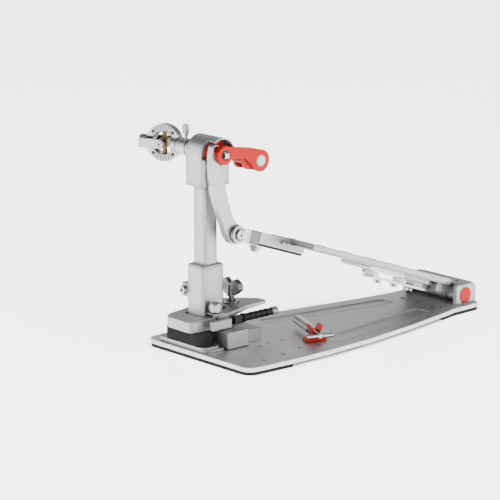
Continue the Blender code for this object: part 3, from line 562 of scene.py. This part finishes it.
def heel_details():
    """Rings at the heel hinge and screws in the heel block's cover."""
    ring("barrel_ring", place(28, *HEEL_HINGE_YZ), (1, 0, 0), 9.1, 9.75, 0, 1.4,
         "dark", "footboard", 44, 0.1)
    for label, x, way in (("near", 50.0, 1), ("far", -36.0, -1)):
        ring("cap_ring_" + label, place(x, *HEEL_HINGE_YZ), (way, 0, 0), 9.35, 10.2, -0.2, 0.3,
             "chrome", "root", 44, 0.1)
    for i, x in enumerate(HEEL_SCREW_XS):
        ring(f"heel_cover_screw_{i}", place(x, 362, 31.0), (0, 0, 1), 0.9, 2.6, -0.2, 0.25,
             "dark", "root", 22, 0.1)


# ---------------------------------------------------------------- stage

FLOOR_HALF = 30.0
SUN_STRENGTH = 18.0
SUN_SPREAD = math.radians(75)
LAMP_SIZE = 0.9
LAMP_POWER = 9.0
WORLD_STRENGTH = 2.7
FAR_WALL = (-0.70, 0.62, 0.35)
CAMERA_PLACE = Vector((2.0227, -1.7632, 0.7589))
CAMERA_AIM = Vector((0.0388, 0.0106, 0.12))
LENS_MM = 187.2


def stage():
    """Plain pale floor, soft studio lights and the world round them."""
    floor = bpy.data.meshes.new("floor")
    shape = bmesh.new()
    bmesh.ops.create_grid(shape, x_segments=1, y_segments=1, size=FLOOR_HALF)
    shape.to_mesh(floor)
    shape.free()
    made, tree, shader = new_material("floor_white")
    shader.inputs["Base Color"].default_value = (0.93, 0.93, 0.93, 1)
    shader.inputs["Roughness"].default_value = 0.22
    floor.materials.append(made)
    ground = bpy.data.objects.new("floor", floor)
    bpy.context.scene.collection.objects.link(ground)

    studio_world()
    sun = bpy.data.lights.new("soft_sun", "SUN")
    sun.energy = SUN_STRENGTH
    sun.angle = SUN_SPREAD
    obj = bpy.data.objects.new("soft_sun", sun)
    obj.rotation_euler = (math.radians(22), math.radians(18), 0)
    obj.visible_glossy = False
    bpy.context.scene.collection.objects.link(obj)
    for name, spot in (("key", (1.3, 0.5, 0.9)), ("toe", (-0.9, -1.3, 0.8))):
        lamp = bpy.data.lights.new(name, "AREA")
        lamp.size = LAMP_SIZE
        lamp.energy = LAMP_POWER
        obj = bpy.data.objects.new(name, lamp)
        obj.location = spot
        aim = Vector((0, 0.12, 0.1)) - Vector(spot)
        obj.rotation_euler = aim.to_track_quat("-Z", "Y").to_euler()
        bpy.context.scene.collection.objects.link(obj)


def studio_world():
    """A white studio: bright near the horizon, darker overhead and over the far wall."""
    world = bpy.data.worlds.new("studio")
    bpy.context.scene.world = world
    world.use_nodes = True
    tree = world.node_tree
    way = tree.nodes.new("ShaderNodeTexCoord")
    split = tree.nodes.new("ShaderNodeSeparateXYZ")
    tree.links.new(way.outputs["Generated"], split.inputs[0])
    overhead = remap(tree, split.outputs["Z"], 1.0, 0.35, 0.15, 0.8)
    far = tree.nodes.new("ShaderNodeVectorMath")
    far.operation = "DOT_PRODUCT"
    far.inputs[1].default_value = FAR_WALL
    tree.links.new(way.outputs["Generated"], far.inputs[0])
    behind = remap(tree, far.outputs["Value"], 1.0, 0.42, 0.35, 0.85)
    both = tree.nodes.new("ShaderNodeMath")
    both.operation = "MULTIPLY"
    tree.links.new(overhead, both.inputs[0])
    tree.links.new(behind, both.inputs[1])
    bright = tree.nodes.new("ShaderNodeMath")
    bright.operation = "MULTIPLY"
    bright.inputs[1].default_value = WORLD_STRENGTH
    tree.links.new(both.outputs[0], bright.inputs[0])
    background = tree.nodes["Background"]
    background.inputs["Color"].default_value = (1.0, 1.0, 1.0, 1)
    tree.links.new(bright.outputs[0], background.inputs["Strength"])


def camera():
    """The camera at the photograph's angle, on a long lens."""
    lens = bpy.data.cameras.new("camera")
    lens.sensor_width = 36.0
    lens.lens = LENS_MM
    lens.clip_end = 100.0
    obj = bpy.data.objects.new("camera", lens)
    obj.location = CAMERA_PLACE
    obj.rotation_euler = (CAMERA_AIM - CAMERA_PLACE).to_track_quat("-Z", "Y").to_euler()
    bpy.context.scene.collection.objects.link(obj)
    bpy.context.scene.camera = obj


stage()
camera()
dress_cad_nodes()
recess_beads()
plate_holes()
universal_joint()
lever_and_link()
clamp_details()
wing_bolt_details()
board_details()
heel_details()
